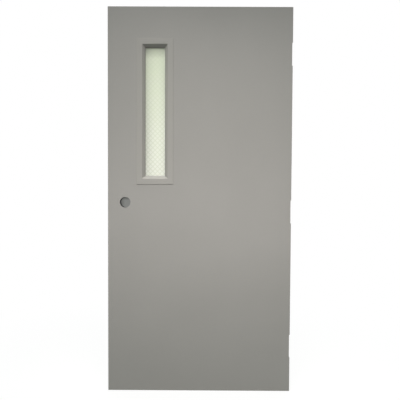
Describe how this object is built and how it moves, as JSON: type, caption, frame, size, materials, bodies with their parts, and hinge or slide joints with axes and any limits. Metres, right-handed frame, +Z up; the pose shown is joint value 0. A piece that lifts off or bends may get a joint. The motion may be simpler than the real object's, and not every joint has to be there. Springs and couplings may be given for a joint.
{
  "type": "hollow metal door with vision panel",
  "caption": "Flush hollow steel door leaf with a narrow wired-glass vision panel in a bevelled steel frame, cut for a cylindrical lock and mortise butt hinges.",
  "frame": {"origin": "middle of the leaf's bottom edge, midway through its thickness", "axes": "+X towards the hinge edge, -Y out of the front face, +Z up"},
  "size_m": [1.0096, 0.0484, 2.1146],
  "materials": {
    "painted_steel": "satin",
    "primed_steel": "matt",
    "honeycomb_paper": "matt",
    "wired_glass": "obscure, wired",
    "glazing_tape": "matt",
    "block_rubber": "matt",
    "zinc_plate": "zinc plated"
  },
  "bodies": {
    "root": {"front_face_sheet": "painted_steel", "rear_face_sheet": "painted_steel", "lite_frame_front": "painted_steel", "lite_frame_rear": "painted_steel", "top_end_channel": "primed_steel", "bottom_end_channel": "primed_steel", "hinge_reinforcement_top": "primed_steel", "hinge_reinforcement_middle": "primed_steel", "hinge_reinforcement_bottom": "primed_steel", "lock_reinforcement": "primed_steel", "cutout_channel_lock_side": "primed_steel", "cutout_channel_hinge_side": "primed_steel", "cutout_channel_top": "primed_steel", "cutout_channel_bottom": "primed_steel", "honeycomb_core": "honeycomb_paper", "glass_pane": "wired_glass", "glazing_tape_front": "glazing_tape", "glazing_tape_rear": "glazing_tape", "setting_blocks": "block_rubber", "lite_frame_screws": "zinc_plate", "lite_frame_weld_nuts": "zinc_plate"}
  },
  "joints": []
}
